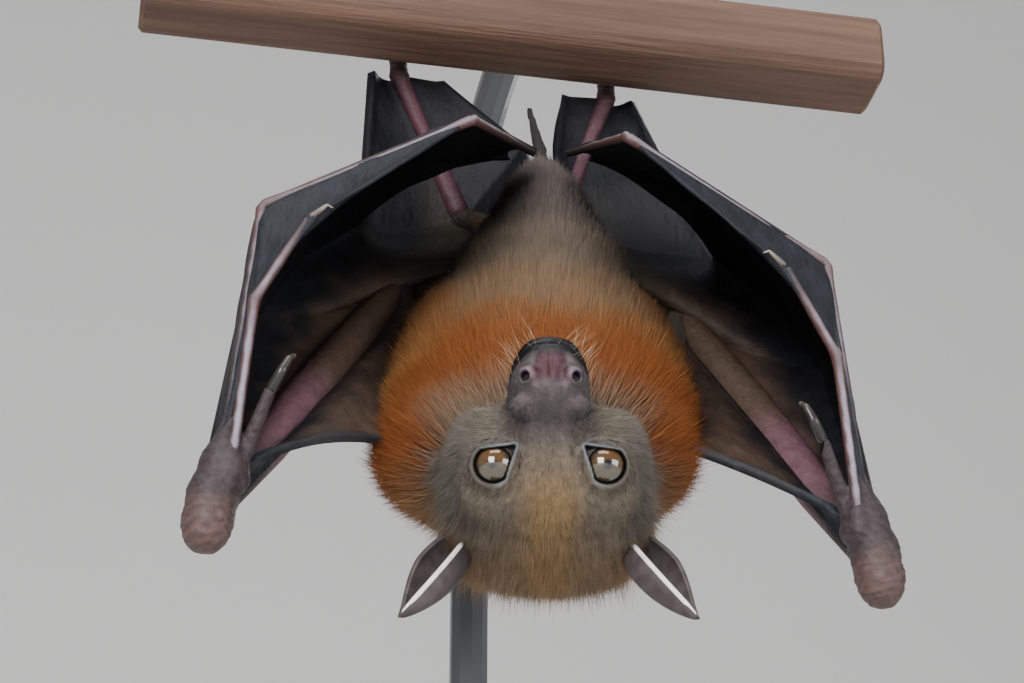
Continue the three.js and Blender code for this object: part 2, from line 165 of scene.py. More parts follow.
HEAD_PARTS = [
    ((0, -1.0, 1.4), (11.9, 11.5, 10.3), 0),
    ((0, 9.0, -1.8), (5.6, 8.0, 5.0), -6),
    ((0, 15.2, -1.8), (3.9, 3.0, 3.1), 0),
    ((0, 9.2, -5.8), (4.5, 6.4, 3.0), 4),
    ((0, 14.4, -5.5), (4.0, 3.6, 2.7), 0),
] + both([((6.6, 2.0, -2.8), (5.2, 7.0, 6.2), 0), ((6.0, 5.4, 5.0), (4.4, 4.0, 4.0), 0)])
NECK_PARTS = [((-1.2, -12, 151.5), (20.9, 12.4, 12.6), 0), ((-0.9, -10, 157), (20.2, 12.2, 10), 0)]
CHEST_PARTS = [((-0.6, -7.5, 163), (19.4, 12.0, 15), 0), ((-0.7, -4.8, 171), (18.0, 11.4, 12), 0)]
BELLY_PARTS = [((-0.1, -2.2, 181), (12.6, 10.0, 14), 0), ((0.4, 0.4, 192), (7.9, 7.6, 10), 0),
               ((0.2, 2.6, 199), (4.8, 4.9, 7.5), 0)]


def union(p, parts, k, place, basis):
    d = np.full(len(p), 1e3)
    for c, r, pitch in parts:
        d = smin(d, ellipsoid(p, place(c), r, basis @ rot_x(pitch)), k)
    return d


def head_solid(p):
    return union(p, HEAD_PARTS, 3.5, head_point, HEAD_M)


EYES = {s: head_point((s * 6.15, 8.3, 4.7)) for s in (-1, 1)}
GAZE = {s: unit(HEAD_M @ A([s * 0.13, 0.72, 0.68])) for s in (-1, 1)}
LID_R, CORNER_AT, CORNER_R = 2.12, A([2.35, 2.0]), 0.1


def off_head(p):
    """Distance outside the head, its lids and nose lobes."""
    q = to_head(p)
    q[:, 0] = np.abs(q[:, 0])
    d = np.minimum(head_solid(p), far(q, A([2.6, 15.6, 0.2])) - 2.6)
    for s in (-1, 1):
        d = np.minimum(d, far(p, EYES[s]) - EYE_R - 0.7)
    return d


def eye_frame(s):
    """Gaze, then the directions toward the midline and toward the snout."""
    gaze = GAZE[s]
    inward = unit(-s * SIDE - gaze * (gaze @ (-s * SIDE)))
    snoutward = np.cross(gaze, inward)
    return gaze, inward, snoutward * np.sign(snoutward @ FORWARD)


def eye_opening(p, s):
    """Depth along the gaze, and distance outside the opening between the lids."""
    g, x, y = eye_frame(s)
    r = p - EYES[s]
    q = np.stack([r @ x, r @ y], 1)
    h = np.clip(q @ CORNER_AT / (CORNER_AT @ CORNER_AT), 0, 1)
    return r @ g, np.linalg.norm(q - h[:, None] * CORNER_AT, axis=1) - (LID_R + (CORNER_R - LID_R) * h), q


def head_skin(p):
    q = to_head(p)
    s, f, c = q[:, 0], q[:, 1], q[:, 2]
    coat = 0.2 + 1.0 * (1 - step(f, 2, 12))
    coat = coat + (1.9 - 1.0 * step(np.abs(s), 5, 9)) * step(c, 3, 9) * (1 - step(f, -3, 5))
    coat = coat + 0.5 * step(np.abs(s), 2.2, 4.2) * step(f, 7, 11)
    d = head_solid(p) + coat
    a = np.abs(s)
    m = np.stack([a, f, c], 1)
    # nose: two short tubes that open outward, a furrowed pad between them
    d = smin(d, ellipsoid(m, A([2.35, 16.6, -0.7]), A([1.35, 1.9, 1.35]), np.eye(3)), 0.6)
    d = smin(d, ellipsoid(m, A([0, 16.9, -2.3]), A([2.4, 1.35, 2.2]), np.eye(3)), 0.7)
    d = smin(d, ellipsoid(m, A([3.2, 14.0, 1.0]), A([1.3, 1.5, 1.0]), np.eye(3)), 1.0)
    rim = far(m, NOSTRIL)
    d = d - 0.16 * np.exp(-((rim - 0.85) / 0.28) ** 2)
    d = smax(d, -cone(m, (2.5, 16.8, -0.3), (3.4, 18.9, 0.5), 0.42, 0.62), 0.2)
    d = d + 0.17 * np.exp(-(s / 0.28) ** 2) * step(f, 14.5, 16.5) * step(-c, -0.6, 0.6) * step(c, -4.2, -2.8)
    # lips: a slit under the nose that runs back along the cheek, the lower lip a soft roll
    slit = -5.3 + 0.10 * (17 - f)
    d = d + 0.6 * np.exp(-((c - slit) / 0.26) ** 2) * step(f, 7.5, 11)
    d = d - 0.2 * np.exp(-((c - slit + 0.95) / 0.5) ** 2) * step(f, 9, 12)
    d = d - 0.15 * np.exp(-((c - slit - 0.8) / 0.4) ** 2) * step(f, 9, 12)
    # folds from the eye's corner to the muzzle
    fold = np.abs(a - 3.0 - 0.20 * (13 - f)) / 0.45
    d = d + 0.16 * np.exp(-fold ** 2) * step(f, 9.5, 11.5) * step(-f, -15.5, -14) * step(c, -0.5, 1.2)
    # eyes: lids round the ball, an opening drawn out to a corner toward the snout
    for side in (-1, 1):
        depth, gap, _ = eye_opening(p, side)
        dist = far(p, EYES[side])
        d = smin(d, dist - (EYE_R + 0.36), 0.9)
        d = smin(d, np.sqrt((gap - 0.28) ** 2 * 2.2 + (depth - 1.9) ** 2) - 0.42, 0.5)
        d = smax(d, -smax(gap, -(depth - 0.5), 0.2), 0.2)
        d = smax(d, -(dist - (EYE_R + 0.04)), 0.08)
        d = d + 0.14 * np.exp(-((gap - 1.25) / 0.25) ** 2) * step(depth, -0.5, 1.0)
    return d


def trunk_core(p):
    d = union(p, NECK_PARTS, 5, turned, TRUNK_M) + COLLAR_DEPTH
    d = smin(d, union(p, CHEST_PARTS, 5, turned, TRUNK_M) + CHEST_DEPTH, 5)
    return smin(d, union(p, BELLY_PARTS, 5, turned, TRUNK_M) + BELLY_DEPTH, 5)


def trunk_skin(p):
    d = trunk_core(p)
    for s in (-1, 1):
        shoulder, mid, elbow = turned((s * 10.8 + 0.8, -5, 157)), swung((17.2, 3.4, 171), s), swung(ELBOW, s)
        d = smin(d, chain_field(p, [shoulder, mid, elbow], [2.8, 2.6, 2.0]), 3.6)
        d = smin(d, chain_field(p, [hip_at(s), knee_at(s)], [2.2, 1.6]), 1.5)
    tail = [turned(q) for q in ((0.8, 5.5, 203), (0.2, 8.6, 210.5), (-1.2, 9.4, 218))]
    d = smin(d, chain_field(p, tail, [1.2, 0.9, 0.45]), 1.2)
    return d


def body_skin(p):
    return smin(head_skin(p), trunk_skin(p), NECK_JOIN)


# ---- surface of a field
def nets(field, low, high, cell):
    low, high = A(low), A(high)
    n = np.ceil((high - low) / cell).astype(int) + 1
    axes = [low[i] + cell * np.arange(n[i]) for i in range(3)]
    grid = np.stack(np.meshgrid(*axes, indexing="ij"), -1).reshape(-1, 3)
    d = np.concatenate([field(part) for part in np.array_split(grid, max(1, len(grid) // 400000))])
    d = d.reshape(n)
    inside = d < 0
    m = n - 1
    part = lambda a, o: a[o[0]:o[0] + m[0], o[1]:o[1] + m[1], o[2]:o[2] + m[2]]
    corners = [(i, j, k) for i in (0, 1) for j in (0, 1) for k in (0, 1)]
    count = sum(part(inside, o).astype(int) for o in corners)
    active = (count > 0) & (count < 8)
    hits, place = np.zeros(active.sum()), np.zeros((active.sum(), 3))
    for o in corners:
        for axis in range(3):
            if o[axis]:
                continue
            e = list(o)
            e[axis] = 1
            a, b = part(d, o)[active], part(d, tuple(e))[active]
            cross = (a < 0) != (b < 0)
            t = np.where(cross, a / np.where(cross, a - b, 1), 0)
            at = np.tile(A(o), (len(a), 1))
            at[:, axis] += t
            place += at * cross[:, None]
            hits += cross
    verts = low + cell * (np.argwhere(active) + place / hits[:, None])
    index = np.full(m, -1)
    index[active] = np.arange(len(verts))
    faces = []
    for axis in range(3):
        u, v = (axis + 1) % 3, (axis + 2) % 3
        lo = [slice(None)] * 3
        lo[axis] = slice(0, n[axis] - 1)
        hi = list(lo)
        hi[axis] = slice(1, n[axis])
        change = inside[tuple(lo)] != inside[tuple(hi)]
        at = np.argwhere(change)
        at = at[(at[:, u] > 0) & (at[:, v] > 0) & (at[:, u] < m[u]) & (at[:, v] < m[v])]
        du, dv = np.eye(3, dtype=int)[u], np.eye(3, dtype=int)[v]
        quad = [index[tuple((at - a * du - b * dv).T)] for a, b in ((1, 1), (0, 1), (0, 0), (1, 0))]
        quad = np.stack(quad, 1)
        flip = ~inside[tuple(at.T)]
        quad[flip] = quad[flip][:, ::-1]
        faces.append(quad)
    faces = np.concatenate(faces)
    return verts, faces[(faces >= 0).all(1)]


# ---- colour
def rgb(code):
    v = A([int(code[i:i + 2], 16) for i in (0, 2, 4)]) / 255
    return np.where(v <= 0.04045, v / 12.92, ((v + 0.055) / 1.055) ** 2.4)


def palette(codes):
    return [rgb(code) for code in codes.split()]


def blend(a, b, t):
    return a + (b - a) * np.asarray(t)[..., None]


def ripple(p, scale, seed=0):
    q = p / scale + seed
    x, y, z = q.T
    return (np.sin(x * 1.7 + 2 * np.sin(y * 1.1)) * np.sin(y * 1.3 + 1.7 * np.sin(z * 0.9))
            + np.sin(z * 1.9 + 1.5 * np.sin(x * 1.2 + seed))) / 2


FACE, BROW, CHEEK = palette("71685c 8c7455 625d56")
MUZZLE, NOSE, CHIN, LILAC = palette("534d51 33141b 09090c 6b5563")
# the second colour here is a light pink used as painted highlight on the nose pad
NOSE_DARK, NOSE_HIGHLIGHT, TAIL_C = palette("1c0e14 52303a 2c292a")
THROAT, NAPE = palette("6e5f4e 7a6650")
LID, LINER = palette("5c646d 0a0909")
RUST, GOLD, CHEST_C = palette("6c3c1c 8f6b41 6b5641")
BELLY_C, PALE_BELLY, BACK_C, OLIVE = palette("5f5448 554d4a 5c4e41 48413a")


def trunk_frame(p):
    return (p - turned((1.0, -6, 168))) @ TRUNK_M


def markings(p):
    """The coat's colour at a place, the same for skin and tufts."""
    h = to_head(p)
    s, f, c = h[:, 0], h[:, 1], h[:, 2]
    a = np.abs(s)
    t = trunk_frame(p)
    wave = 1.6 * ripple(p, 2.4)
    front = step(-t[:, 1], -4, 3)
    back = blend(BACK_C, OLIVE, step(np.abs(t[:, 0]), 9, 17) * step(t[:, 2], -6, 4))
    along = t[:, 2] + wave
    chest = blend(blend(RUST, GOLD, 0.25), CHEST_C, step(along, -8, 0))
    chest = blend(chest, BELLY_C, step(along, 1, 9))
    chest = blend(chest, PALE_BELLY, step(along, 12, 22))
    side_rust = step(np.abs(t[:, 0]), 9, 14) * step(-along, -9, 0)
    chest = blend(chest, blend(RUST, GOLD, 0.3), 0.75 * side_rust)
    body = blend(back, chest, front)
    ring = far(p, turned((0.4, -14, 148))) + 0.6 * wave
    gold = np.maximum(step(ring, 16.5, 22), 0.85 * step(-p[:, 2], -149, -140))
    collar = blend(RUST, GOLD, gold)
    body = blend(body, collar, step(-along, 3, 12) * (0.7 + 0.3 * step(-t[:, 1], -7, 0)))
    beside = step(f, 1, 5) * step(c, -12, -6)
    body = blend(body, THROAT, 0.95 * step(-off_head(p), -10, -1.5) * beside)
    body = blend(body, FACE, 0.9 * step(-off_head(p), -4.5, -0.3) * beside)
    body = blend(body, THROAT, 0.6 * step(-off_head(p), -3.5, -0.5) * step(f, 1, 5) * (1 - beside))
    for side in (-1, 1):
        near_knee = 1 - step(far(p, knee_at(side)), 3.0, 7.5)
        body = blend(body, TAIL_C, 0.8 * near_knee)
    nape = step(-f, -1, 6) * step(-off_head(p), -6, -1) * step(c, -9, -2)
    body = blend(body, NAPE, 0.9 * nape)
    face = blend(FACE, BROW, step(-a, -5.0, -1) * step(c, 2.5, 7.0) * step(-f, -12, -6))
    face = blend(face, CHEEK, step(a, 5, 9) * step(-c, -8, -3))
    face = blend(face, BROW, 0.7 * step(c, 6.5, 9.5) * step(-f, -5, 2) * step(a, 1.5, 5))
    face = blend(face, MUZZLE, step(f, 9.5, 13.0) * 0.8)
    face = blend(face, MUZZLE, 0.5 * np.exp(-((a - 4.3) / 1.4) ** 2) * step(f, 6, 9) * step(-c, -7, -2))
    behind = step(-f - 0.35 * wave, -1.5, 4.5) * (1 - 0.75 * step(c, 5, 9))
    on_head = step(-off_head(p), -1.6, -0.2) * (1 - behind)
    throat = step(-c, 4.6, 6.8) * step(-f, -12.5, -8)
    return blend(body, face, np.clip(on_head * (1 - throat), 0, 1))


def bare_face(p, colour):
    """Bare skin of nose, lips and lids over the markings, with painted highlights on the nose and painted
    shade inside the nostrils.
    """
    h = to_head(p)
    s, f, c = h[:, 0], h[:, 1], h[:, 2]
    a = np.abs(s)
    m = np.stack([a, f, c], 1)
    def dab(place, radius):
        return np.exp(-(far(m, A(place)) / radius) ** 2)
    out = blend(colour, TAIL_C, step(p[:, 2], 203, 208))
    half = 1.45 + 0.17 * (c + 4.3)
    pad = step(f, 15.7, 16.6) * step(-c, -1.3, 0.2) * step(half - a, -0.5, 0.45)
    pad = np.maximum(pad, 0.8 * dab((2.5, 17.3, -1.5), 1.0))
    out = blend(out, NOSE_DARK, 0.75 * np.maximum(pad, 0.7 * dab((2.9, 17.2, 0.7), 1.3)))
    out = blend(out, NOSE, pad ** 2)
    # pink dabs on the middle of the nose pad: painted highlight
    out = blend(out, NOSE_HIGHLIGHT, 0.3 * dab((0, 17.9, -2.5), 0.8) + 0.4 * dab((0.9, 17.8, -1.3), 0.5))
    rim = far(m, NOSTRIL)
    crescent = step(-(c + 0.05) + 0.5 * (2.95 - a), -0.35, 0.35)
    out = blend(out, LILAC, 0.8 * np.exp(-((rim - 0.92) / 0.3) ** 2) * crescent)
    # paler lilac dab just inside and below each nostril: painted highlight
    out = blend(out, LILAC * 1.15, 0.8 * dab((1.75, 17.2, 0.75), 0.42))
    out = blend(out, LILAC * 0.9, 0.5 * dab((3.1, 15.0, 1.5), 0.95))
    out = blend(out, CHIN, (0.5 * step(-c, 2.6, 3.4) + 0.5 * step(-c, 3.5, 4.2)) * step(f, 10.0, 12.5))
    # near-black inside each nostril opening: painted shade in the hole
    out = blend(out, NOSE_DARK * 0.4, 1 - step(rim, 0.5, 0.72))
    for side in (-1, 1):
        depth, gap, q = eye_opening(p, side)
        near = step(depth, -0.6, 0.6)
        inner = step(q[:, 0] + 0.4 * q[:, 1], -2.0, 0.8)
        out = blend(out, CHEEK * 0.5, 0.8 * near * (1 - step(gap, 0.5, 1.4)) * (1 - inner))
        out = blend(out, LID, near * (1 - step(gap, 0.26, 0.62)) * (0.02 + 0.78 * inner))
        out = blend(out, LINER, near * (1 - step(gap, 0.08, 0.26)))
    return out


def wet(p):
    """1 on the moist skin of the nose pad, nostrils and lips."""
    h = to_head(p)
    a = np.abs(h[:, 0])
    lips = step(-h[:, 2], 3.4, 4.2) * step(h[:, 1], 10, 12)
    return np.maximum(lips, step(h[:, 1], 16.2, 16.8) * step(-a, -3.9, -3.5) * step(-h[:, 2], -1.1, -0.5))


# ---- meshes
def make(name, verts, faces, colour=None, smooth=True):
    mesh = bpy.data.meshes.new(name)
    verts = np.asarray(verts, float) * MM
    size = faces.shape[1]
    mesh.vertices.add(len(verts))
    mesh.vertices.foreach_set("co", verts.ravel())
    mesh.loops.add(faces.size)
    mesh.loops.foreach_set("vertex_index", faces.ravel().astype(np.int32))
    mesh.polygons.add(len(faces))
    mesh.polygons.foreach_set("loop_start", np.arange(0, faces.size, size, dtype=np.int32))
    mesh.update(calc_edges=True)
    mesh.validate()
    if smooth:
        mesh.polygons.foreach_set("use_smooth", np.ones(len(mesh.polygons), bool))
    if colour is not None:
        layer = mesh.color_attributes.new("tint", "FLOAT_COLOR", "POINT")
        layer.data.foreach_set("color", np.c_[colour, np.ones(len(colour))].astype(np.float32).ravel())
    obj = bpy.data.objects.new(name, mesh)
    bpy.context.collection.objects.link(obj)
    return obj


EAR_AXIS = (0.47, 0.04, 0.88)


def ear_surface(u, v, s):
    """Middle of the ear's skin: u runs to the tip, v from the front rim round the back to the outer edge."""
    axis = unit(A([s * EAR_AXIS[0], EAR_AXIS[1], EAR_AXIS[2]]))
    front = A([-0.4 * s, 0.66, 0.2])
    front = unit(front - axis * (front @ axis))
    outer = np.cross(axis, front)
    outer = outer * np.sign(outer[0] * s)
    radius = 2.5 * np.sin(math.pi * (0.2 + 0.8 * u) ** 0.9) ** 0.75 + 0.12
    turn = np.radians(92 + v * (250 - 110 * np.maximum(u - 0.4, 0)))
    reach = 12.3 * u - 1.6 * (1 - u)
    root = A([s * 10.8, -3.7, 6.5])
    local = (root + axis * reach[..., None] + outer * (radius * np.cos(turn) + 0.3)[..., None]
             + front * (radius * np.sin(turn) * 0.62)[..., None])
    return HEAD_AT + local @ HEAD_M.T


class Pile:
    """Quads gathered from several shapes, with a colour at each corner."""

    def __init__(self):
        self.verts, self.faces, self.colours, self.kinds, self.count = [], [], [], [], 0

    def add(self, verts, faces, colours, kind):
        self.verts.append(verts)
        self.faces.append(faces + self.count)
        self.colours.append(np.broadcast_to(colours, verts.shape))
        self.kinds.append(np.full(len(faces), kind))
        self.count += len(verts)

    def build(self, name):
        obj = make(name, *(np.concatenate(part) for part in (self.verts, self.faces, self.colours)))
        obj.data.polygons.foreach_set("material_index", np.concatenate(self.kinds).astype(np.int32))
        return obj


def grid_faces(rows, cols, wrap=False):
    i, j = np.meshgrid(np.arange(rows - 1), np.arange(cols if wrap else cols - 1), indexing="ij")
    i, j = i.ravel(), j.ravel()
    k = (j + 1) % cols
    return np.stack([i * cols + j, i * cols + k, (i + 1) * cols + k, (i + 1) * cols + j], 1)


def chain(points):
    points = np.stack([A(p) for p in points])

    def at(t):
        x = np.asarray(t, float) * (len(points) - 1)
        i = np.clip(np.floor(x).astype(int), 0, len(points) - 2)
        w = (x - i)[..., None]
        return points[i] * (1 - w) + points[i + 1] * w
    return at


def arc(a, b, c):
    """A smooth bow from a to c that passes through b halfway."""
    hold = 2 * A(b) - (A(a) + A(c)) / 2
    steps = np.linspace(0, 1, 17)
    return chain([A(a) * (1 - t) ** 2 + hold * 2 * t * (1 - t) + A(c) * t * t for t in steps])


def tube(points, radii, sides=14, rows=40, knob=None, flat=1.0, up=(0, 1, 0)):
    """Skin over a bone: a rounded rod along joints, `knob` swells it at each joint."""
    line, t = chain(points), np.linspace(0, 1, rows)
    soft = 0.6 / rows
    along = unit(line(np.clip(t + soft, 0, 1)) - line(np.clip(t - soft, 0, 1)))
    centre = (line(t) + line(np.clip(t + soft, 0, 1)) + line(np.clip(t - soft, 0, 1))) / 3
    across = unit(np.cross(along, A(up)))
    upward = np.cross(along, across)
    r = np.interp(t, np.linspace(0, 1, len(radii)), radii)
    if knob:
        joints = np.linspace(0, 1, len(points))
        r = r * (1 + knob * sum(np.exp(-((t - j) * (rows / 3.2)) ** 2) for j in joints))
    end = np.minimum(t, 1 - t) * rows / 2.5
    r = r * np.sqrt(np.clip(1 - (1 - np.clip(end, 0, 1)) ** 2, 0.02, 1))
    ang = np.arange(sides) * 2 * math.pi / sides
    ring = across[:, None] * np.cos(ang)[:, None] + upward[:, None] * np.sin(ang)[:, None] * flat
    verts = centre[:, None] + ring * r[:, None, None]
    faces = grid_faces(rows, sides, wrap=True)[:, ::-1]
    return verts.reshape(-1, 3), faces, np.repeat(t, sides), np.tile(ang, rows)


def ruled(first, second, bow, scoop=0.0):
    def surface(u, v):
        fall = 4 * v * (1 - v)
        t = u * (1 - scoop * fall * u)
        return (first(t) * (1 - v)[..., None] + second(t) * v[..., None]
                + (fall * np.minimum(1, 3 * u))[..., None] * A(bow))
    return surface


def sheet(surface, rows, cols, thick=0.24, hem=1.6, ripples=0.0, seed=0):
    """A closed thin skin: two faces and a thin edge; thicker where it joins bones at its sides."""
    u, v = np.meshgrid(np.linspace(0, 1, rows), np.linspace(0, 1, cols), indexing="ij")
    mid = surface(u, v)
    du = surface(np.clip(u + 1e-3, 0, 1), v) - surface(np.clip(u - 1e-3, 0, 1), v)
    dv = surface(u, np.clip(v + 1e-3, 0, 1)) - surface(u, np.clip(v - 1e-3, 0, 1))
    normal = unit(np.cross(du, dv))
    if ripples:
        fade = np.minimum(np.minimum(v, 1 - v) * 6, 1) * np.minimum(u * 4, 1)
        waves = ripple(mid.reshape(-1, 3), 2.6, seed).reshape(u.shape)
        mid = mid + normal * (ripples * fade * waves)[..., None]
    width = np.linalg.norm(surface(u, np.ones_like(v)) - surface(u, np.zeros_like(v)), axis=-1)
    edge = np.minimum(v, 1 - v) * width
    half = thick * (1 + hem * np.exp(-(edge / 0.7) ** 2))
    top, bottom = mid + normal * half[..., None], mid - normal * half[..., None]
    faces = grid_faces(rows, cols)
    n = rows * cols
    rim = np.concatenate([np.arange(cols), np.arange(1, rows) * cols + cols - 1,
                          (rows - 1) * cols + np.arange(cols - 2, -1, -1),
                          np.arange(rows - 2, 0, -1) * cols])
    nxt = np.roll(rim, -1)
    walls = np.stack([rim, rim + n, nxt + n, nxt], 1)
    verts = np.concatenate([top.reshape(-1, 3), bottom.reshape(-1, 3)])
    faces = np.concatenate([faces[:, ::-1], faces + n, walls[:, ::-1]])
    uv = np.tile(np.stack([u.ravel(), v.ravel()], 1), (2, 1))
    side = np.repeat([1.0, -1.0], n)
    return verts, faces, uv, side


# ---- skin of the head and trunk
def to_world(v):
    return HEAD_AT + v @ HEAD_M.T


FINE, COARSE = 0.2, 0.5
FRONT_LOW, FRONT_HIGH = A([-13.5, 1.0, -10.5]), A([13.5, 20.0, 13.5])
skin = Pile()
fur_verts, fur_faces = [], []

front_v, front_f = nets(lambda q: body_skin(to_world(q)), FRONT_LOW, FRONT_HIGH, FINE)
front_v = to_world(front_v)
trunk_v, trunk_f = nets(body_skin, (-24, -38, 126), (26, 22, 222), COARSE)
mid = to_head(trunk_v[trunk_f].mean(1))
inner = ((mid > FRONT_LOW + COARSE) & (mid < FRONT_HIGH - COARSE)).all(1)
trunk_f = trunk_f[~inner]
for v, f in ((front_v, front_f), (trunk_v, trunk_f)):
    base = markings(v) * (0.85 + 0.08 * ripple(v, 1.3))[:, None]
    skin.add(v, f, bare_face(v, base), np.where(wet(v[f].mean(1)) > 0.5, 6, 0))
    fur_verts.append(v)
    fur_faces.append(f + (len(fur_verts[0]) if len(fur_verts) > 1 else 0))

# ---- wings, limbs and ears
SLATE, SLATE_PALE, INK, BROWN_BLACK = palette("14171c 23272d 0b0d13 121114")
# the first colour is pale bone under the skin, also used as painted highlight along the bones
BONE_PALE_AND_HIGHLIGHT, BONE_PINK, BONE_DARK = palette("827b88 4a3331 2b2426")
ARM_PINK, ARM_BROWN, ARM_DARK = palette("63454f 48392f 221d1b")
KNOB, HAND, SHIN = palette("4a3935 30272a 42242f")
EAR_DARK, EAR_RIM, OLIVE_WING = palette("463f3e e3dcd9 2f2b21")
claws = Pile()


def add_tube(points, radii, colours, kind=2, pile=None, bone_and_highlight=(0,), **more):
    """The ridge weights give how white the ridge along the tube's front is, from its first joint to its
    last; that white is pale bone under the skin, partly painted highlight.
    """
    v, f, t, ang = tube(points, radii, **more)
    stops = np.linspace(0, 1, len(colours))
    colours = np.stack([np.interp(t, stops, np.stack(colours)[:, i]) for i in range(3)], 1)
    # whitened ridge on the tube's front: pale bone under the skin, partly painted highlight
    colours = blend(colours, BONE_PALE_AND_HIGHLIGHT, np.interp(t, np.linspace(0, 1, len(bone_and_highlight)), bone_and_highlight)
                    * step(np.sin(ang) + 0.1 * ripple(v, 0.9), 0.72, 0.98))
    (pile or skin).add(v, f, colours * (1 + 0.14 * ripple(v, 0.8))[:, None], kind)


def add_sheet(surface, rows, cols, paint, kind=1, **more):
    v, f, uv, side = sheet(surface, rows, cols, **more)
    skin.add(v, f, paint(v, uv[:, 0], uv[:, 1], side), kind)


def add_field(field, low, high, cell, paint, kind=3):
    v, f = nets(field, low, high, cell)
    skin.add(v, f, paint(v), kind)


